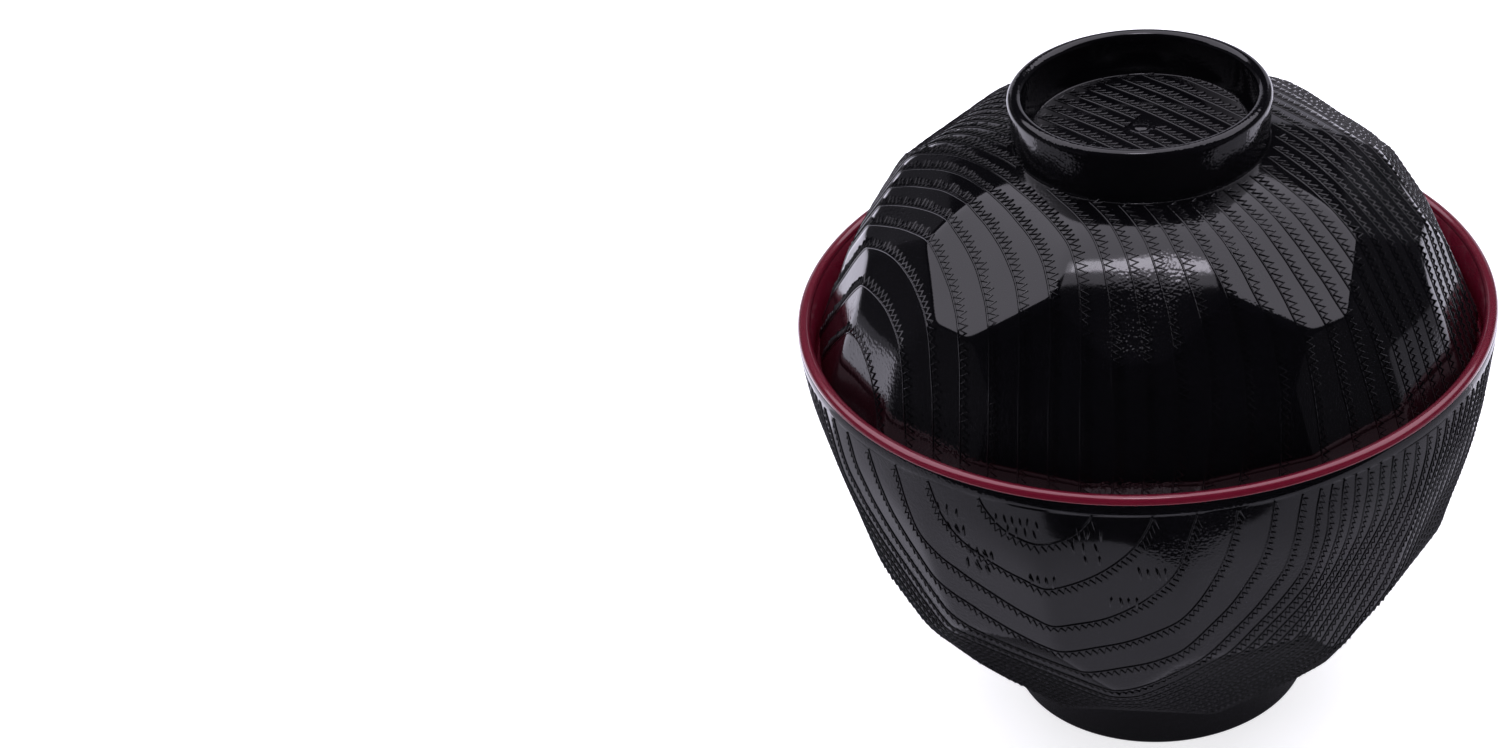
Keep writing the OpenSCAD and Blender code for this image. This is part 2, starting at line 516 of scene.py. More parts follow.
def turned_rows(section: list[Pair], columns: int) -> Points:
    """Turns a half section round the axis into rows of points."""
    spots = np.array(section)
    return around(spots[:, :1], spots[:, 1:], columns)


def grid_normals(rows: Points) -> Points:
    """Gives the outward normals of a grid that closes round the axis.

    Args:
        rows: points, rows by columns by 3, rows running from the foot up the outside.

    Returns:
        Unit vectors in the same layout.
    """
    along = np.roll(rows, -1, 1) - np.roll(rows, 1, 1)
    up = np.gradient(rows, axis=0)
    return unit(np.cross(along, up))


def linked(name: str, data: Any) -> bpy.types.Object:
    """Puts a new object into the scene, at the origin.

    Args:
        name: the object's name.
        data: its mesh, light or camera.

    Returns:
        The object.
    """
    made = bpy.data.objects.new(name, data)
    bpy.context.scene.collection.objects.link(made)
    return made


def lofted(name: str, rows: Points) -> bpy.types.Object:
    """Skins closed rings from pole to pole.

    Args:
        name: the piece's name.
        rows: rings in millimetres, rows by columns by 3; the first and last are shrunk to poles.

    Returns:
        A closed, smooth mesh object in metres.
    """
    count, columns = rows.shape[:2]
    poles = [rows[0].mean(0), rows[-1].mean(0)]
    spots = np.concatenate([rows.reshape(-1, 3), poles]) * MM
    here = np.arange(columns)
    there = np.roll(here, -1)
    starts = range(0, (count - 1) * columns, columns)
    quads = [np.stack([row + here, row + there, row + columns + there, row + columns + here], 1)
             for row in starts]
    last = (count - 1) * columns
    first_fan = np.stack([there, here, np.full(columns, count * columns)], 1)
    last_fan = np.stack([last + here, last + there, np.full(columns, count * columns + 1)], 1)
    faces = np.concatenate(quads).tolist() + first_fan.tolist() + last_fan.tolist()
    mesh = bpy.data.meshes.new(name)
    mesh.from_pydata(spots.tolist(), [], faces)
    mesh.shade_smooth()
    return linked(name, mesh)


# ------------------------------------------------------------------ wood grain


@dataclass
class Strands:
    """Growth lines as open paths, with the skin's normal and the way that their ticks lean."""

    parts: list[tuple[Points, Points, Points, Points]] = field(default_factory=list)

    def add(self, points: Points, normals: Points, leans: Points, edges: Points) -> None:
        """Adds paths, whose edges are pairs of indices into their points."""
        before = sum(len(part[0]) for part in self.parts)
        self.parts.append((points, normals, leans, edges + before))

    def object(self, name: str) -> bpy.types.Object:
        """Makes a mesh of loose edges that carries the normals and leans.

        Args:
            name: the object's name.

        Returns:
            The object, in metres.
        """
        mesh = bpy.data.meshes.new(name)
        points, normals, leans, edges = (np.concatenate(part) for part in zip(*self.parts))
        mesh.from_pydata((points * MM).tolist(), edges.tolist(), [])
        for title, values in (("skin", normals), ("lean", leans)):
            layer = mesh.attributes.new(title, "FLOAT_VECTOR", "POINT")
            layer.data.foreach_set("vector", values.astype(np.float32).ravel())
        return linked(name, mesh)


@dataclass(frozen=True)
class Grain:
    """A log's growth rings where a carved skin cuts them.

    The rings run from the first to the last distance from the pith, with gaps that ease between
    the given ones. A knot is a soft bump of its height and spread, at a place seen from above.
    """

    pith: tuple[float, float, float]
    last: float
    gaps: tuple[Pair, ...]
    upright: float
    slant: float
    waver: float
    seed: int
    knots: tuple[tuple[float, float, float, float], ...] = ()
    waves: Pair = (36.0, 8.0)
    small_share: float = 0.12

    def rings(self, points: Points) -> Points:
        """Gives the distance from the pith, stretched upright and a little uneven.

        Args:
            points: places, millimetres.

        Returns:
            Distances, millimetres.
        """
        off = points - np.array(self.pith)
        level = np.hypot(off[..., 0], off[..., 1])
        distance = np.hypot(level, off[..., 2] * self.upright)
        for x, y, lift, spread in self.knots:
            near = (points[..., 0] - x) ** 2 + (points[..., 1] - y) ** 2
            distance = distance + lift * np.exp(-near / (2 * spread ** 2))
        large, small = (ripple(points, wave, self.seed + k) for k, wave in enumerate(self.waves))
        return distance + self.waver * (large + self.small_share * small)

    def levels(self) -> list[float]:
        """Lists the rings from the first to the last.

        Returns:
            Their distances from the pith.
        """
        at, gap = zip(*self.gaps)
        found = [at[0]]
        while found[-1] < self.last:
            found.append(found[-1] + float(np.interp(found[-1], at, gap)))
        return found

    def trace(self, rows: Points, normals: Points, strands: Strands, fibre: Triple) -> None:
        """Follows each ring over a grid that closes round the axis.

        Args:
            rows: the skin's points, rows by columns by 3.
            normals: its normals.
            strands: where the paths go.
            fibre: the way the wood's fibres run.
        """
        rings = self.rings(rows)
        count, columns = rings.shape
        slope = self.slope(rows, rings)
        along = np.arange(count * columns).reshape(count, columns)
        flat = [x.reshape(-1, x.shape[-1]) for x in (rows, normals, slope)]
        value = rings.ravel()
        ends = np.concatenate([np.stack([along, np.roll(along, -1, 1)], -1).reshape(-1, 2),
                               np.stack([along[:-1], along[1:]], -1).reshape(-1, 2)])
        upright = count * columns + along[:-1]
        cells = np.stack([along[:-1], np.roll(upright, -1, 1), along[1:], upright], -1)
        cells = cells.reshape(-1, 4)
        for level in self.levels():
            crossed = (value[ends[:, 0]] > level) != (value[ends[:, 1]] > level)
            inside = crossed[cells]
            chosen = inside.sum(1) == 2
            pairs = cells[chosen][inside[chosen]].reshape(-1, 2)
            if len(pairs) == 0:
                continue
            used, index = np.unique(pairs, return_inverse=True)
            a, b = ends[used].T
            share = ((level - value[a]) / (value[b] - value[a]))[:, None]
            spot, normal, rise = (x[a] * (1 - share) + x[b] * share for x in flat)
            strands.add(spot, normal, self.lean(normal, rise, fibre), index.reshape(-1, 2))

    @staticmethod
    def slope(rows: Points, rings: Points) -> Points:
        """Gives the way over the skin in which the rings' distance grows.

        Args:
            rows: the skin's points.
            rings: the rings' distance at each.

        Returns:
            Vectors in the skin, not of unit length.
        """
        total = np.zeros_like(rows)
        level = [np.roll(x, -1, 1) - np.roll(x, 1, 1) for x in (rows, rings)]
        upright = [np.gradient(x, axis=0) for x in (rows, rings)]
        for step, change in (level, upright):
            square = np.maximum((step ** 2).sum(-1, keepdims=True), TINY)
            total = total + step * change[..., None] / square
        return total

    def lean(self, normal: Points, rise: Points, fibre: Triple) -> Points:
        """Gives the way a tick lies: along the fibres, slanted out from its line.

        Args:
            normal: the skin's normals.
            rise: the way in which the rings' distance grows.
            fibre: the way the fibres run.

        Returns:
            Unit vectors in the skin.
        """
        way = np.broadcast_to(np.array(fibre, float), normal.shape)
        way = way - (way * normal).sum(-1, keepdims=True) * normal
        return unit(unit(way) + self.slant * unit(rise))


class GrainTree:
    """A geometry tree that raises the grain: ridges, teeth or ticks along the growth lines."""

    uneven_teeth: Pair = (0.7, 1.15)
    uneven_ticks: Pair = (0.75, 1.2)
    swing: float = 0.22
    root: float = 0.2
    bead_sides: int = 6
    tick_middle: float = 0.42

    def __init__(self, name: str, sizes: dict[str, float]) -> None:
        """Starts a tree with a named input for each size.

        Args:
            name: the name of the tree and of the piece that it grows.
            sizes: value of each named input, millimetres.
        """
        self.tree = bpy.data.node_groups.new(name, "GeometryNodeTree")
        self.board = Board(self.tree)
        self.sizes = {title: size * MM for title, size in sizes.items()}
        face = self.tree.interface
        face.new_socket("Geometry", in_out="INPUT", socket_type="NodeSocketGeometry")
        for title in sizes:
            face.new_socket(title, in_out="INPUT", socket_type="NodeSocketFloat")
        face.new_socket("Tick", in_out="INPUT", socket_type="NodeSocketObject")
        face.new_socket("Finish", in_out="INPUT", socket_type="NodeSocketMaterial")
        face.new_socket("Geometry", in_out="OUTPUT", socket_type="NodeSocketGeometry")
        self.given = self.tree.nodes.new("NodeGroupInput")

    def input(self, name: str) -> Wire:
        """Gives one of the tree's named inputs."""
        return Wire(self.board, self.given.outputs[name])

    def attribute(self, name: str) -> Wire:
        """Reads a vector that the strands carry."""
        return self.board.node("GeometryNodeInputNamedAttribute", {"data_type": "FLOAT_VECTOR"},
                               Name=name)

    def paths(self) -> Wire:
        """Turns the loose edges into evenly spaced paths.

        Returns:
            The paths.
        """
        curve = self.board.node("GeometryNodeMeshToCurve", Mesh=self.input("Geometry"))
        return self.board.node("GeometryNodeResampleCurve", {"mode": "LENGTH"}, Curve=curve,
                               Length=self.input("Spacing"))

    def swept(self, across: Wire | float) -> "GrainTree":
        """Sweeps a low, flattened bead along each path, half sunk in the skin.

        Args:
            across: how far each of a path's points is moved sideways, metres.

        Returns:
            The tree.
        """
        board = self.board
        skin = self.attribute("skin")
        aside = board.scaled(self.attribute("lean"), across)
        lift = board.scaled(skin, self.input("Lift"))
        moved = board.node("GeometryNodeSetPosition", Geometry=self.paths(),
                           Offset=board.vector("ADD", aside, lift))
        upright = board.node("GeometryNodeSetCurveNormal", {"mode": "FREE"}, Curve=moved, Normal=skin)
        circle = board.node("GeometryNodeCurvePrimitiveCircle", Resolution=self.bead_sides,
                            Radius=1.0)
        size = board.node("ShaderNodeCombineXYZ", X=self.input("Height"), Y=self.input("Width"),
                          Z=1.0)
        bead = board.node("GeometryNodeTransform", Geometry=circle, Scale=size)
        return self.end(board.node("GeometryNodeCurveToMesh", Curve=upright, Profile_Curve=bead,
                                   Fill_Caps=True))

    def ridges(self) -> "GrainTree":
        """Makes the smooth edge of each growth line."""
        return self.swept(0.0)

    def teeth(self, seed: int) -> "GrainTree":
        """Makes the zigzag beside each growth line, every other point thrown out sideways.

        Args:
            seed: picks each tooth's own length.

        Returns:
            The tree.
        """
        board = self.board
        odd = board.math("MODULO", board.node("GeometryNodeInputIndex"), 2.0)
        own = board.random(*self.uneven_teeth, seed)
        return self.swept((odd * own + self.root) * self.input("Reach"))

    def ticks(self, seed: int) -> "GrainTree":
        """Stands a tick beside every point of the paths.

        Args:
            seed: picks each tick's own size and turn.

        Returns:
            The tree.
        """
        board = self.board
        own = board.random(*self.uneven_ticks, seed)
        swing = board.random(-self.swing, self.swing, seed + 1)
        lean = self.attribute("lean")
        skin = self.attribute("skin")
        across = board.vector("CROSS_PRODUCT", skin, lean)
        way = board.vector("ADD", lean, board.scaled(across, swing))
        turn = board.node("FunctionNodeAxesToRotation",
                          {"primary_axis": "Z", "secondary_axis": "X"},
                          Primary_Axis=skin, Secondary_Axis=way)
        size = board.node("ShaderNodeCombineXYZ", X=self.input("Length") * own,
                          Y=self.input("Width"), Z=self.input("Height"))
        shape = board.node("GeometryNodeObjectInfo", output="Geometry", Object=self.input("Tick"))
        moved = board.node("GeometryNodeSetPosition", Geometry=self.paths(),
                           Offset=board.scaled(way, self.input("Length") * self.tick_middle))
        placed = board.node("GeometryNodeInstanceOnPoints", Points=moved, Instance=shape,
                            Rotation=turn, Scale=size)
        return self.end(placed)

    def end(self, geometry: Wire) -> "GrainTree":
        """Makes the result real, smooth and dressed.

        Args:
            geometry: the beads or ticks.

        Returns:
            The tree.
        """
        board = self.board
        real = board.node("GeometryNodeRealizeInstances", Geometry=geometry)
        smooth = board.node("GeometryNodeSetShadeSmooth", Geometry=real)
        dressed = board.node("GeometryNodeSetMaterial", Geometry=smooth,
                             Material=self.input("Finish"))
        out = self.tree.nodes.new("NodeGroupOutput")
        self.tree.links.new(dressed.socket, out.inputs["Geometry"])
        return self

    def grow(self, strands: Strands, finish: bpy.types.Material,
             tick: bpy.types.Object | None = None) -> bpy.types.Object:
        """Runs the tree on strands and keeps the result as a plain mesh.

        Args:
            strands: the growth lines.
            finish: the material.
            tick: the shape that is repeated.

        Returns:
            The piece.
        """
        name = self.tree.name
        holder = strands.object(name + "_paths")
        modifier = holder.modifiers.new("grain", "NODES")
        modifier.node_group = self.tree
        values: dict[str, Any] = {**self.sizes, "Tick": tick, "Finish": finish}
        for item in self.tree.interface.items_tree:
            if item.in_out == "INPUT" and item.name in values and values[item.name] is not None:
                modifier[item.identifier] = values[item.name]
        depsgraph = bpy.context.evaluated_depsgraph_get()
        mesh = bpy.data.meshes.new_from_object(holder.evaluated_get(depsgraph))
        bpy.data.objects.remove(holder)
        mesh.name = name
        for layer in {"skin", "lean"} & set(mesh.attributes.keys()):
            mesh.attributes.remove(mesh.attributes[layer])
        return linked(name, mesh)


def tick_shape() -> bpy.types.Object:
    """Makes the small loaf that is repeated as a tick, one unit long, wide and about as high.

    Returns:
        The object, half sunk.
    """
    sunk, top = -0.3, 0.6
    spots = [(-0.5, 0, sunk), (-0.3, -0.5, sunk), (0.3, -0.5, sunk), (0.5, 0, sunk),
             (0.3, 0.5, sunk), (-0.3, 0.5, sunk), (-0.3, 0, top), (0.3, 0, top)]
    faces = [(0, 1, 6), (1, 2, 7, 6), (2, 3, 7), (3, 4, 7), (4, 5, 6, 7), (5, 0, 6)]
    mesh = bpy.data.meshes.new("tick")
    mesh.from_pydata(spots, [], faces)
    return linked("tick", mesh)


# ---------------------------------------------------------------- sub-assemblies


@dataclass
class Assembly:
    """What the bowl and the lid share: their finishes and how pieces join their body."""

    body: Body
    black: bpy.types.Material
    red: bpy.types.Material
    tick: bpy.types.Object

    def keep(self, piece: bpy.types.Object, slot: Slot, *stands_for: str) -> None:
        """Dresses a piece and hangs it on its body.

        Args:
            piece: the piece.
            slot: its finish.
            stands_for: the structural parts that it replaces.
        """
        piece.data.materials.clear()
        piece.data.materials.append(self.black if slot is Slot.BLACK else self.red)
        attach(piece, self.body.value)
        if stands_for:
            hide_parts(*stands_for)
        triangles = sum(len(p.vertices) - 2 for p in piece.data.polygons)
        LOG.info("%s: %s, %d triangles", self.body.value, piece.name, triangles)

    def raise_lines(self, strands: Strands, ridge: dict[str, float], tooth: dict[str, float],
                    seed: int) -> None:
        """Raises a ridge and a row of teeth along each growth line.

        Args:
            strands: the growth lines.
            ridge: the ridges' sizes, millimetres.
            tooth: the sizes in which the teeth differ from them.
            seed: picks each tooth's own length.
        """
        ridges = GrainTree(self.body.value + "_grain_ridges", ridge).ridges()
        teeth = GrainTree(self.body.value + "_grain_teeth", {**ridge, **tooth}).teeth(seed)
        for tree in (ridges, teeth):
            self.keep(tree.grow(strands, self.black), Slot.BLACK)


@dataclass
class Bowl(Assembly):
    """The bowl: faceted black wall on a foot ring, red inside with a rounded lip and a lid seat.

    Lengths are in millimetres and angles in degrees. Pairs are a distance out and a height, and
    the points of small corners are measured from the corner's place.
    """

    rim_r: float
    height: float
    lip_w: float = 2.2
    band_h: float = 2.0
    band_step: float = 0.2
    round_h: float = 13.4
    round_draw: float = 1.4
    sides: int = 8
    turn: float = -7.5
    wall_head: Pair = (56.4, 60.0)
    wall_foot: Pair = (50.5, 38.0)
    wall_lean: float = 15.0
    lower_foot: Pair = (41.5, 23.5)
    short_foot: Pair = (41.0, 20.0)
    tip_z: float = 29.5
    foot_r: float = 26.5
    foot_h: float = 8.0
    foot_wall: float = 3.0
    foot_recess: float = 6.5
    foot_edge: float = 0.8
    floor_t: float = 4.5
    lining: float = 0.8
    seat_depth: float = 8.5
    pocket_draft: float = 0.2
    ledge_w: float = 2.6
    wall: float = 3.2
    floor_r: float = 26.5
    softness: float = 0.22
    blend: float = 0.35
    unevenness: float = 0.05
    seed: int = 11
    wall_rows: int = 124
    columns: int = 600
    red_columns: int = 360
    corner_steps: int = 5
    bead_steps: int = 16
    seat_corner: tuple[Pair, ...] = ((0.0, 0.25), (-0.07, 0.07), (-0.25, 0.0))
    recess_corner: tuple[Pair, ...] = ((-0.5, 0.0), (0.0, -0.5))
    foot_top: tuple[Pair, ...] = ((0.0, -0.3), (0.1, -0.05))
    band_foot: tuple[Pair, ...] = ((-0.05, 0.06), (0.0, 0.2))
    band_head: tuple[Pair, ...] = ((0.0, -0.25), (-0.08, -0.06), (-0.25, 0.0))
    tick_groups: tuple[Triple, ...] = (
        (-36.0, 69.0, 4.0), (-35.0, 65.5, 3.5), (-32.0, 61.0, 4.5), (-33.0, 57.5, 4.0),
        (-25.0, 71.0, 7.0), (-23.5, 68.5, 5.0), (-21.0, 58.5, 5.0), (-12.0, 70.0, 4.0),
        (-13.0, 67.0, 4.0), (-11.5, 64.5, 3.0), (-3.0, 61.5, 5.0), (-8.0, 54.5, 5.0))

    @property
    def lip_z(self) -> float:
        """Height at which the lip's bead begins."""
        return self.height - self.lip_w / 2

    @property
    def band_z(self) -> float:
        """Height of the plain band's lower edge."""
        return self.lip_z - self.band_h

    @property
    def seat_z(self) -> float:
        """Height of the ledge that carries the lid."""
        return self.height - self.seat_depth

    def form(self) -> FacetedForm:
        """Lists the faces of the wall, half of each row turned between the others.

        Returns:
            The wall's outside.
        """
        half = 180 / self.sides
        head, foot = self.wall_head, self.wall_foot
        lean = math.tan(math.radians(self.wall_lean))
        tip = (head[0] - (head[1] - self.tip_z) * lean, self.tip_z)
        join = (self.foot_r + 0.3, self.foot_h)
        upright = 90 - self.wall_lean
        cuts = cut_row(2 * self.sides, self.turn, head, upright, False)
        for turn, high, low in ((half, foot, self.lower_foot), (0.0, tip, self.short_foot),
                                (0.0, join, self.short_foot)):
            cuts += cut_row(self.sides, self.turn + turn, high, slope_between(high, low), False)
        round_top = (self.rim_r - self.band_step, self.band_z)
        round_foot = (round_top[0] - self.round_draw, self.band_z - self.round_h)
        cuts.append(Cut(round_top, slope_between(round_top, round_foot), False, broad=True))
        return FacetedForm(cuts, self.softness, self.blend, self.unevenness, self.seed)

    def hollow(self, skin: float) -> list[Pair]:
        """Half section of the hollow from the lip down to the floor's edge.

        Args:
            skin: how far it is grown into the wall.

        Returns:
            Points from the lip down to the floor.
        """
        lip_in = self.rim_r - self.lip_w
        pocket = lip_in - self.pocket_draft
        ledge = pocket - self.ledge_w
        floor = self.foot_recess + self.floor_t
        through = ((ledge, self.seat_z), (self.wall_foot[0] - self.wall, self.wall_foot[1]),
                   (self.floor_r, floor))
        low, seat = floor - skin, self.seat_z - skin
        down = bent_wall(through, skin, (seat, low))
        top = [(lip_in + skin, self.lip_z)] + beside(self.seat_corner, pocket + skin, seat)
        return top + [(down[0][0] + 0.25, seat)] + down + [(down[-1][0] - 0.6, low)]

    def shell(self) -> Points:
        """Builds the faceted wall with its plain band and foot.

        Returns:
            The wall's own rows, for the grain.
        """
        heights = np.linspace(self.foot_h, self.band_z, self.wall_rows)
        level, lift = np.ones_like(heights), np.zeros_like(heights)
        rows = self.form().rows(heights, level, lift, self.columns)
        recess_r = self.foot_r - self.foot_wall
        edge = self.foot_edge
        foot = [(POLE, self.foot_recess)] + beside(self.recess_corner, recess_r, self.foot_recess)
        foot += [(recess_r, edge)] + arc((recess_r + edge, edge), edge, 180, 270, self.corner_steps)
        foot += arc((self.foot_r - edge, edge), edge, -90, 0, self.corner_steps)
        foot += beside(self.foot_top, self.foot_r, self.foot_h)
        inside = self.hollow(self.lining)
        band = [(self.rim_r - self.band_step, self.band_z + 0.02)]
        band += beside(self.band_foot, self.rim_r, self.band_z)
        band += beside(self.band_head, self.rim_r, self.lip_z) + inside[:1]
        parts = [turned_rows(foot, self.columns), rows, turned_rows(band, self.columns),
                 turned_rows(inside[1::4] + [(POLE, inside[-1][1])], self.columns)]
        self.keep(lofted("bowl_shell", np.concatenate(parts)), Slot.BLACK, "bowl_body")
        return rows

    def red_inside(self) -> None:
        """Builds the red lining: lip, pocket, ledge and the round hollow."""
        bead = self.lip_w / 2
        centre = (self.rim_r - bead, self.lip_z)
        outer = self.hollow(self.lining)
        inner = self.hollow(0)
        section = [(POLE, outer[-1][1])] + outer[:0:-1]
        section += [(self.rim_r - self.lip_w + self.lining, self.lip_z - 0.1),
                    (self.rim_r - 0.3, self.lip_z - 0.02)]
        section += arc(centre, bead, 0, 180, self.bead_steps)
        section += inner + [(POLE, inner[-1][1])]
        self.keep(lofted("bowl_red_inside", turned_rows(section, self.red_columns)), Slot.RED,
                  "bowl_lining")

    def grained(self, rows: Points) -> None:
        """Raises the wood grain on the wall.

        Args:
            rows: the wall's rows.
        """
        grain = Grain(pith=(-28.6, -84.0, 74.0), last=152.0,
                      gaps=((31.6, 6.3), (52.0, 6.0), (64.0, 2.3)),
                      upright=1.0, slant=0.9, waver=0.8, seed=21)
        strands = Strands()
        grain.trace(rows[1:-1], grid_normals(rows)[1:-1], strands, (0.0, 0.0, -1.0))
        self.raise_lines(strands, {"Spacing": 0.9, "Width": 0.24, "Height": 0.26, "Lift": -0.06},
                         {"Spacing": 0.6, "Reach": 1.5}, 31)
        sizes = {"Spacing": 1.3, "Length": 2.7, "Width": 0.45, "Height": 0.3}
        ticks = GrainTree("bowl_grain_ticks", sizes).ticks(33)
        self.keep(ticks.grow(self.loose_ticks(rows), self.black, self.tick), Slot.BLACK)

    def loose_ticks(self, rows: Points) -> Strands:
        """Lays short level paths for the small groups of ticks between the widest lines.

        Each group has an azimuth in degrees, a height, and a length in degrees.

        Args:
            rows: the wall's rows.

        Returns:
            The paths.
        """
        strands = Strands()
        normals = grid_normals(rows)
        columns = rows.shape[1]
        for azimuth, height, length in self.tick_groups:
            row = int(np.argmin(abs(rows[:, 0, 2] - height)))
            first = round(azimuth / 360 * columns)
            along = np.arange(first, first + max(2, round(length / 360 * columns))) % columns
            fall = np.broadcast_to((0.0, 0.0, -1.0), (len(along), 3))
            ends = np.arange(len(along) - 1)
            strands.add(rows[row, along], normals[row, along], fall, np.stack([ends, ends + 1], 1))
        return strands

    def build(self) -> None:
        """Builds the bowl's pieces."""
        rows = self.shell()
        self.red_inside()
        self.grained(rows)


@dataclass
class Lid(Assembly):
    """The lid: faceted black dome under a grip ring, red underneath.

    Lengths are in millimetres and angles in degrees. Pairs are a distance out and a height, and
    the points of small corners are measured from the corner's place. The two walls are each a
    thickness and the height above its edge or face's foot at which it holds.
    """

    edge_z: float
    edge_r: float
    top_z: float
    crown_fall: float = 10.0
    sides: int = 9
    turn: float = -2.0
    upper_head: Pair = (37.6, 99.7)
    upper_foot: Pair = (46.3, 92.5)
    middle_head: Pair = (40.0, 99.7)
    middle_foot: Pair = (49.2, 86.0)
    edge_foot: Pair = (52.8, 77.0)
    ring_r: float = 21.6
    ring_taper: float = 0.5
    ring_wall: float = 2.6
    ring_h: float = 9.0
    recess_depth: float = 7.0
    recess_taper: float = 1.0
    crown_t: float = 4.3
    ceiling_r: float = 19.7
    edge_wall: Pair = (3.8, 3.0)
    middle_wall: Pair = (5.1, 2.0)
    lining: float = 0.8
    softness: float = 0.16
    blend: float = 1.5
    unevenness: float = 0.04
    seed: int = 5
    eye_z: float = 62.0
    grain_z: float = 70.5
    dome_rows: int = 128
    columns: int = 620
    ring_columns: int = 320
    red_columns: int = 360
    bead_steps: int = 18
    corner_r: float = 0.35
    corner_steps: int = 6
    floor_rings: int = 14
    grain_rings: int = 30
    grain_columns: int = 240
    ring_foot: tuple[Pair, ...] = (
        (-0.5, -0.7), (0.35, -0.3), (0.08, 0.05), (0.0, 0.5), (0.02, 1.0))
    edge_corner: tuple[Pair, ...] = ((-0.3, 0.0), (-0.08, 0.08))
    crown_end: tuple[Pair, ...] = ((-0.3, -0.4), (-0.5, -0.8))
    dimple: tuple[Pair, ...] = ((1.6, -0.08), (1.2, 0.0), (0.9, 0.08), (0.3, 0.12))

    @property
    def crown_z(self) -> float:
        """Height at which the dome's crown meets the grip ring."""
        return self.top_z - self.ring_h

    @property
    def recess_z(self) -> float:
        """Height of the floor inside the grip ring."""
        return self.top_z - self.recess_depth

    def form(self) -> FacetedForm:
        """Lists the faces of the dome, half of each row turned between the others.

        Returns:
            The dome's outside.
        """
        half = 180 / self.sides
        rows = [(self.turn, self.upper_head, self.upper_foot),
                (self.turn + half, self.middle_head, self.middle_foot),
                (self.turn, self.upper_foot, self.edge_foot),
                (self.turn + half, self.middle_foot, self.edge_foot)]
        cuts = [cut for turn, high, low in rows
                for cut in cut_row(self.sides, turn, high, slope_between(high, low), True)]
        cuts.append(Cut((self.edge_r, self.edge_z), 90, True))
        cuts.append(Cut((self.ring_r - self.ring_taper, self.crown_z), self.crown_fall, True,
                        broad=True))
        return FacetedForm(cuts, self.softness, self.blend, self.unevenness, self.seed)

    def hollow(self, skin: float) -> list[Pair]:
        """Half section of the lid's hollow from its edge up to the ceiling.

        Args:
            skin: how far it is grown into the wall.

        Returns:
            Points from the edge up to the middle of the ceiling.
        """
        ceiling = self.recess_z - self.crown_t
        through = ((self.edge_r - self.edge_wall[0], self.edge_z + self.edge_wall[1]),
                   (self.middle_foot[0] - self.middle_wall[0],
                    self.middle_foot[1] + self.middle_wall[1]), (self.ceiling_r, ceiling))
        up = bent_wall(through, skin, (self.edge_z, ceiling + skin))
        return up + [(up[-1][0] - 0.8, ceiling + skin), (POLE, ceiling + skin)]

    def shell(self) -> Points:
        """Builds the faceted dome.

        Returns:
            The dome's own rows, for the grain.
        """
        inner = self.ring_r - self.ring_taper - 0.6
        guide = [(self.edge_r, self.edge_z + 0.3), (self.edge_r, 70.0), self.edge_foot,
                 self.middle_foot, self.upper_foot, self.upper_head, (inner, self.crown_z)]
        spots = np.array(guide)
        walked = np.concatenate([[0], np.cumsum(np.linalg.norm(np.diff(spots, axis=0), axis=1))])
        steps = np.linspace(0, walked[-1], self.dome_rows)
        out, up = (np.interp(steps, walked, spots[:, k]) for k in (0, 1))
        start = np.full_like(out, self.eye_z)
        length = np.hypot(out, up - start)
        rows = self.form().rows(start, out / length, (up - start) / length, self.columns)
        inside = self.hollow(self.lining)
        under = [(POLE, inside[-1][1])] + inside[-2::-4] + [(inside[0][0], self.edge_z)]
        under += beside(self.edge_corner, self.edge_r, self.edge_z)
        crown = beside(self.crown_end, inner, self.crown_z)
        crown += [(POLE, crown[-1][1])]
        parts = [turned_rows(under, self.columns), rows, turned_rows(crown, self.columns)]
        self.keep(lofted("lid_shell", np.concatenate(parts)), Slot.BLACK, "lid_body")
        return rows

    def grip_ring(self) -> Points:
        """Builds the ring with its rounded top and its recess.

        Returns:
            Rows of the recess floor, for the grain.
        """
        foot_r = self.ring_r - self.ring_taper
        bead = self.ring_wall / 2
        corner = self.corner_r
        floor_r = self.ring_r - self.ring_wall - self.recess_taper
        foot = beside(self.ring_foot, foot_r, self.crown_z)
        section = [(POLE, foot[0][1])] + foot
        section += arc((self.ring_r - bead, self.top_z - bead), bead, 0, 180, self.bead_steps)
        section += [(floor_r + corner, self.recess_z + 1.0)]
        section += arc((floor_r - corner, self.recess_z + corner), corner, 0, -90,
                       self.corner_steps)
        section += [(out, self.recess_z) for out in np.linspace(floor_r - 2.0, 2.0, self.floor_rings)]
        section += beside(self.dimple, 0.0, self.recess_z)
        self.keep(lofted("lid_grip_ring", turned_rows(section, self.ring_columns)), Slot.BLACK,
                  "lid_body")
        floor = [(out, self.recess_z) for out in np.linspace(floor_r - 0.6, 2.6, self.grain_rings)]
        return turned_rows(floor, self.grain_columns)

    def red_under(self) -> None:
        """Builds the red lining under the dome."""
        section = self.hollow(0)[::-1] + self.hollow(self.lining)
        self.keep(lofted("lid_red_under", turned_rows(section, self.red_columns)), Slot.RED,
                  "lid_lining")

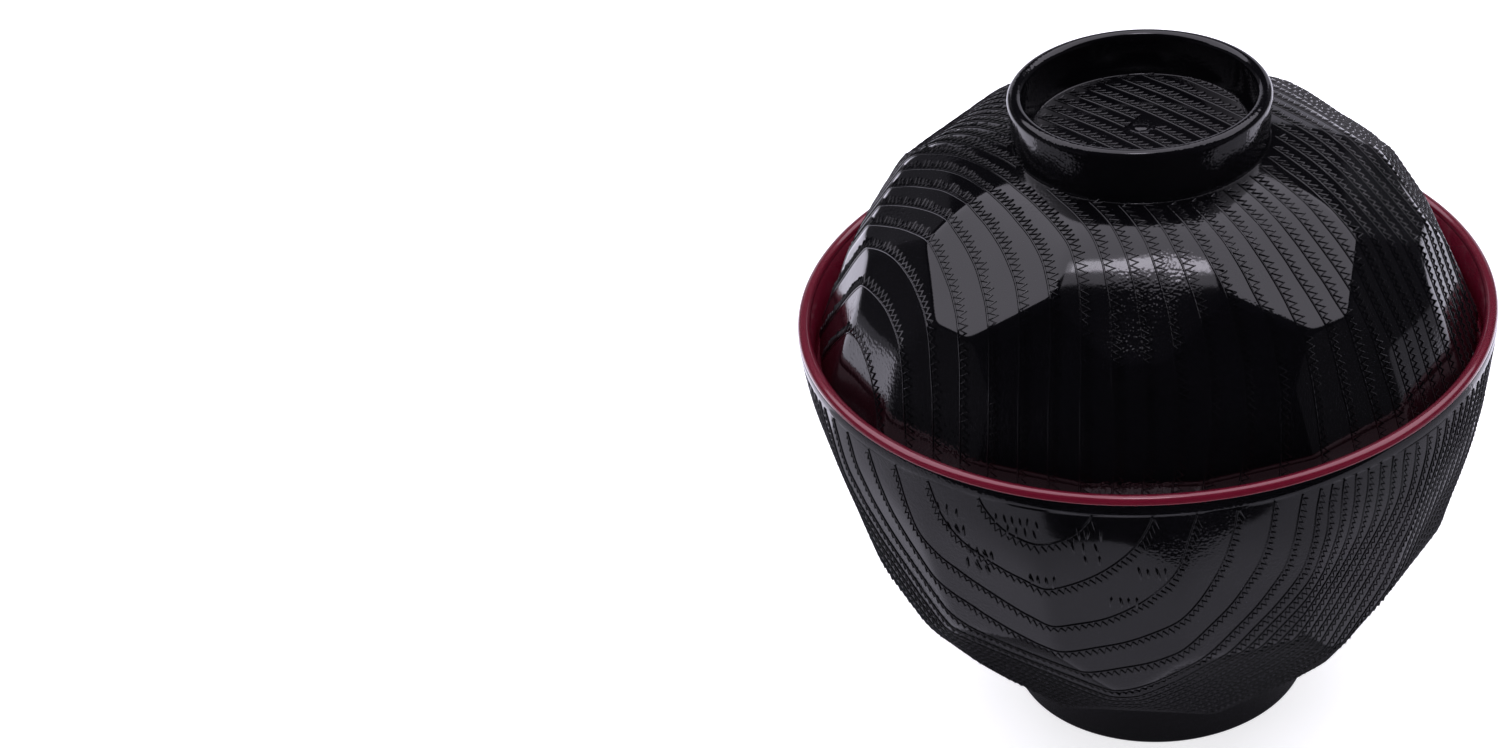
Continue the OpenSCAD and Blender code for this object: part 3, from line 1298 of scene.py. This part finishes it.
    def grained(self, dome: Points, floor: Points) -> None:
        """Raises the wood grain on the dome and in the recess.

        Args:
            dome: the dome's rows.
            floor: rows of the recess floor.
        """
        grain = Grain(pith=(63.0, -57.0, 0.0), last=30.0,
                      gaps=((-180.0, 4.0), (-125.0, 4.0), (-115.0, 3.2), (-90.0, 3.2),
                            (-65.0, 4.6)),
                      upright=0.0, slant=3.5, waver=0.4, seed=41,
                      knots=((-175.0, -24.0, -410.0, 136.0),))
        flat = Grain(pith=(-130.0, -130.0, 0.0), last=208.0, gaps=((160.0, 3.1), (208.0, 3.1)),
                     upright=0.0, slant=3.5, waver=0.3, seed=43)
        strands = Strands()
        normals = grid_normals(dome)
        low = int(np.argmax(dome[:, 0, 2] > self.grain_z))
        grain.trace(dome[low:-3], normals[low:-3], strands, (0.44, -0.9, 0.0))
        up = np.broadcast_to((0.0, 0.0, 1.0), floor.shape)
        flat.trace(floor, up, strands, (0.5, -0.87, 0.0))
        self.raise_lines(strands, {"Spacing": 0.9, "Width": 0.22, "Height": 0.2, "Lift": -0.06},
                         {"Spacing": 0.6, "Width": 0.26, "Height": 0.3, "Reach": 1.4}, 51)

    def build(self) -> None:
        """Builds the lid's pieces."""
        dome = self.shell()
        floor = self.grip_ring()
        self.red_under()
        self.grained(dome, floor)


# ---------------------------------------------------------------------- studio


@dataclass(frozen=True)
class SoftBox:
    """A soft light panel hung level over the object."""

    name: str
    place: Triple
    width: float
    length: float
    brightness: float
    tint: Triple = (0.99, 0.95, 1.08)
    mirrored: bool = True

    def hang(self) -> None:
        """Hangs the panel."""
        light = bpy.data.lights.new(self.name, "AREA")
        light.shape = "RECTANGLE"
        light.size = self.width
        light.size_y = self.length
        light.energy = self.brightness * math.pi * self.width * self.length
        light.color = self.tint
        panel = linked(self.name, light)
        panel.location = self.place
        panel.visible_camera = False
        panel.visible_glossy = self.mirrored


@dataclass(frozen=True)
class Card:
    """A flat glowing card beside the object that only its gloss can see: a painted reflection, the
    pale ones painting light and the dark ones painting shade into the gloss.

    It is turned round the upright and leans from level (0) to standing (90), in degrees.
    """

    name: str
    middle: Triple
    size: Pair
    turn: float
    lean: float
    # Brightness of the painted reflection; 0 paints a black one.
    glow: float
    tint: Triple = (0.97, 0.94, 1.1)

    def stand(self) -> None:
        """Stands the card in the studio."""
        material, board = shader_board(self.name)
        shader = board.node("ShaderNodeBsdfPrincipled", Base_Color=(0.0, 0.0, 0.0, 1.0),
                            Roughness=1.0, Specular_IOR_Level=0.0,
                            Emission_Color=rgba(self.tint), Emission_Strength=self.glow)
        finish(board, shader)
        turn, lean = math.radians(self.turn), math.radians(self.lean)
        along = Vector((math.cos(turn), math.sin(turn), 0.0)) * self.size[0] / 2
        up = Vector((-math.sin(turn) * math.cos(lean), math.cos(turn) * math.cos(lean),
                     math.sin(lean))) * self.size[1] / 2
        middle = Vector(self.middle)
        spots = [middle - along - up, middle + along - up, middle + along + up, middle - along + up]
        mesh = bpy.data.meshes.new(self.name)
        mesh.from_pydata(spots, [], [(0, 1, 2, 3)])
        mesh.materials.append(material)
        card = linked(self.name, mesh)
        # Hidden from the camera, from diffuse light and from shadows, the card only paints a
        # reflection into the gloss.
        for sight in ("camera", "diffuse", "shadow", "transmission", "volume_scatter"):
            setattr(card, "visible_" + sight, False)


@dataclass(frozen=True)
class Studio:
    """Pale paper floor with a low round surround, soft boxes, cards that paint reflections into the
    gloss, a dim room and the camera.
    """

    floor_r: float = 2.5
    floor_columns: int = 96
    curl: float = 0.3
    surround_h: float = 0.45
    room: Triple = (0.012, 0.012, 0.014)
    elevation: float = 34.5
    distance: float = 0.5431
    aim: Triple = (0.0, 0.0, 0.05)
    lens: float = 75.08
    roll: float = -2.14
    shift: Pair = (-0.268, 0.0335)
    boxes: tuple[SoftBox, ...] = (
        SoftBox("overhead_box", (0.0, 0.35, 0.85), 2.3, 0.96, 1.7),
        SoftBox("hot_box", (-0.02, -0.09, 0.84), 0.10, 0.09, 6.0),
        SoftBox("hot_edge_box", (-0.02, -0.12, 0.835), 0.18, 0.2, 1.2),
        SoftBox("floor_fill", (0.0, 0.0, 2.0), 4.0, 4.0, 1.0, mirrored=False),
    )
    # Painted reflections: cards that only the gloss sees, the pale ones painting light and the dark
    # ones painting shade into it.
    cards: tuple[Card, ...] = (
        # Painted shadow under the foot, and painted shade on the floor next to the bowl.
        Card("foot_flag", (0.0, 0.0, 0.0006), (0.09, 0.09), 0.0, 0.0, 0.1),
        Card("near_floor_card", (0.0, -0.03, 0.0004), (1.0, 0.15), 0.0, 0.0, 0.42),
        # Painted reflections of the floor behind the bowl and to its sides.
        Card("back_floor_card", (0.0, 0.62, 0.0004), (1.0, 1.15), 0.0, 0.0, 1.5),
        Card("left_floor_card", (-0.875, 0.545, 0.0004), (0.75, 1.3), 0.0, 0.0, 0.3),
        Card("right_floor_card", (0.875, 0.545, 0.0004), (0.75, 1.3), 0.0, 0.0, 0.3),
        # Painted shadow on the floor in front of the bowl, and painted dark reflections round the
        # front and sides.
        Card("front_floor_flag", (0.0, -0.66, 0.0004), (2.5, 1.11), 0.0, 0.0, 0.0),
        Card("front_flag", (0.0, -1.2, 0.9), (2.6, 1.8), 0.0, 90.0, 0.0),
        Card("left_flag", (-1.25, 0.1, 0.35), (2.7, 0.7), 90.0, 90.0, 0.05),
        Card("right_flag", (1.25, 0.1, 0.35), (2.7, 0.7), 90.0, 90.0, 0.05),
        # Painted pale reflection behind, with painted dark corners.
        Card("back_card", (0.0, 1.45, 0.35), (1.5, 0.7), 0.0, 90.0, 0.6),
        Card("left_corner_flag", (-1.0, 1.44, 0.35), (0.5, 0.7), 0.0, 90.0, 0.1),
        Card("right_corner_flag", (1.0, 1.44, 0.35), (0.5, 0.7), 0.0, 90.0, 0.1),
    )

    def paper(self) -> None:
        """Lays the floor and bends it up into a low surround."""
        flat_r = self.floor_r - self.curl
        section = [(0.001, 0.0)] + [(out, 0.0) for out in np.linspace(0.2, flat_r, 8)]
        section += arc((flat_r, self.curl), self.curl, -90, 0, 24)
        rows = turned_rows(section + [(self.floor_r, self.surround_h)], self.floor_columns)
        count, columns = rows.shape[:2]
        faces = [(r * columns + c, (r + 1) * columns + c, (r + 1) * columns + (c + 1) % columns,
                  r * columns + (c + 1) % columns) for r in range(count - 1) for c in range(columns)]
        faces.append(tuple(range(columns)))
        mesh = bpy.data.meshes.new("studio_floor")
        mesh.from_pydata(rows.reshape(-1, 3).tolist(), [], faces)
        mesh.flip_normals()
        mesh.shade_smooth()
        mesh.materials.append(StudioPaper().material())
        linked("studio_floor", mesh)

    def room_light(self) -> None:
        """Sets the dim room round the stage."""
        world = bpy.data.worlds.new("room")
        world.use_nodes = True
        world.node_tree.nodes["Background"].inputs["Color"].default_value = rgba(self.room)
        bpy.context.scene.world = world
        bpy.context.scene.view_settings.view_transform = "Standard"

    def camera(self) -> None:
        """Stands the camera in front, above and a little tilted."""
        lens = bpy.data.cameras.new("camera")
        lens.sensor_fit = "HORIZONTAL"
        lens.sensor_width = 36.0
        lens.lens = self.lens
        lens.shift_x, lens.shift_y = self.shift
        camera = linked("camera", lens)
        lift = math.radians(self.elevation)
        way = Vector((0.0, -math.cos(lift), math.sin(lift)))
        camera.location = Vector(self.aim) + way * self.distance
        turn = way.to_track_quat("Z", "Y").to_matrix().to_4x4()
        turn = turn @ turn.Rotation(math.radians(self.roll), 4, "Z")
        camera.rotation_euler = turn.to_euler()
        bpy.context.scene.camera = camera

    def build(self) -> None:
        """Builds the studio."""
        self.paper()
        self.room_light()
        for box in self.boxes:
            box.hang()
        for card in self.cards:
            card.stand()
        self.camera()
        LOG.info("studio: floor, %d soft boxes, %d cards and camera", len(self.boxes),
                 len(self.cards))


def measured(node: str) -> Triple:
    """Measures a node of the solid model at rest, to the nearest hundredth.

    Args:
        node: the node's name.

    Returns:
        Its greatest reach to the right, its lowest and its highest point, millimetres.
    """
    low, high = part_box(node)
    right, bottom, top = (round(value / MM, 2) for value in (high.x, low.z, high.z))
    return right, bottom, top


def main() -> None:
    """Builds the studio, the bowl and the lid, sized from the boxes of two solid-model nodes."""
    logging.basicConfig(level=logging.INFO, format="%(message)s")
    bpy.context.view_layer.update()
    black, red, tick = BlackGloss().material(), RedLacquer().material(), tick_shape()
    rim_r, _, lip_top = measured("bowl_lining")
    edge_r, edge_z, lid_top = measured("lid_body")
    Bowl(Body.BOWL, black, red, tick, rim_r=rim_r, height=lip_top).build()
    Lid(Body.LID, black, red, tick, edge_z=edge_z, edge_r=edge_r, top_z=lid_top).build()
    bpy.data.objects.remove(tick)
    Studio().build()


if __name__ == "__main__":
    main()
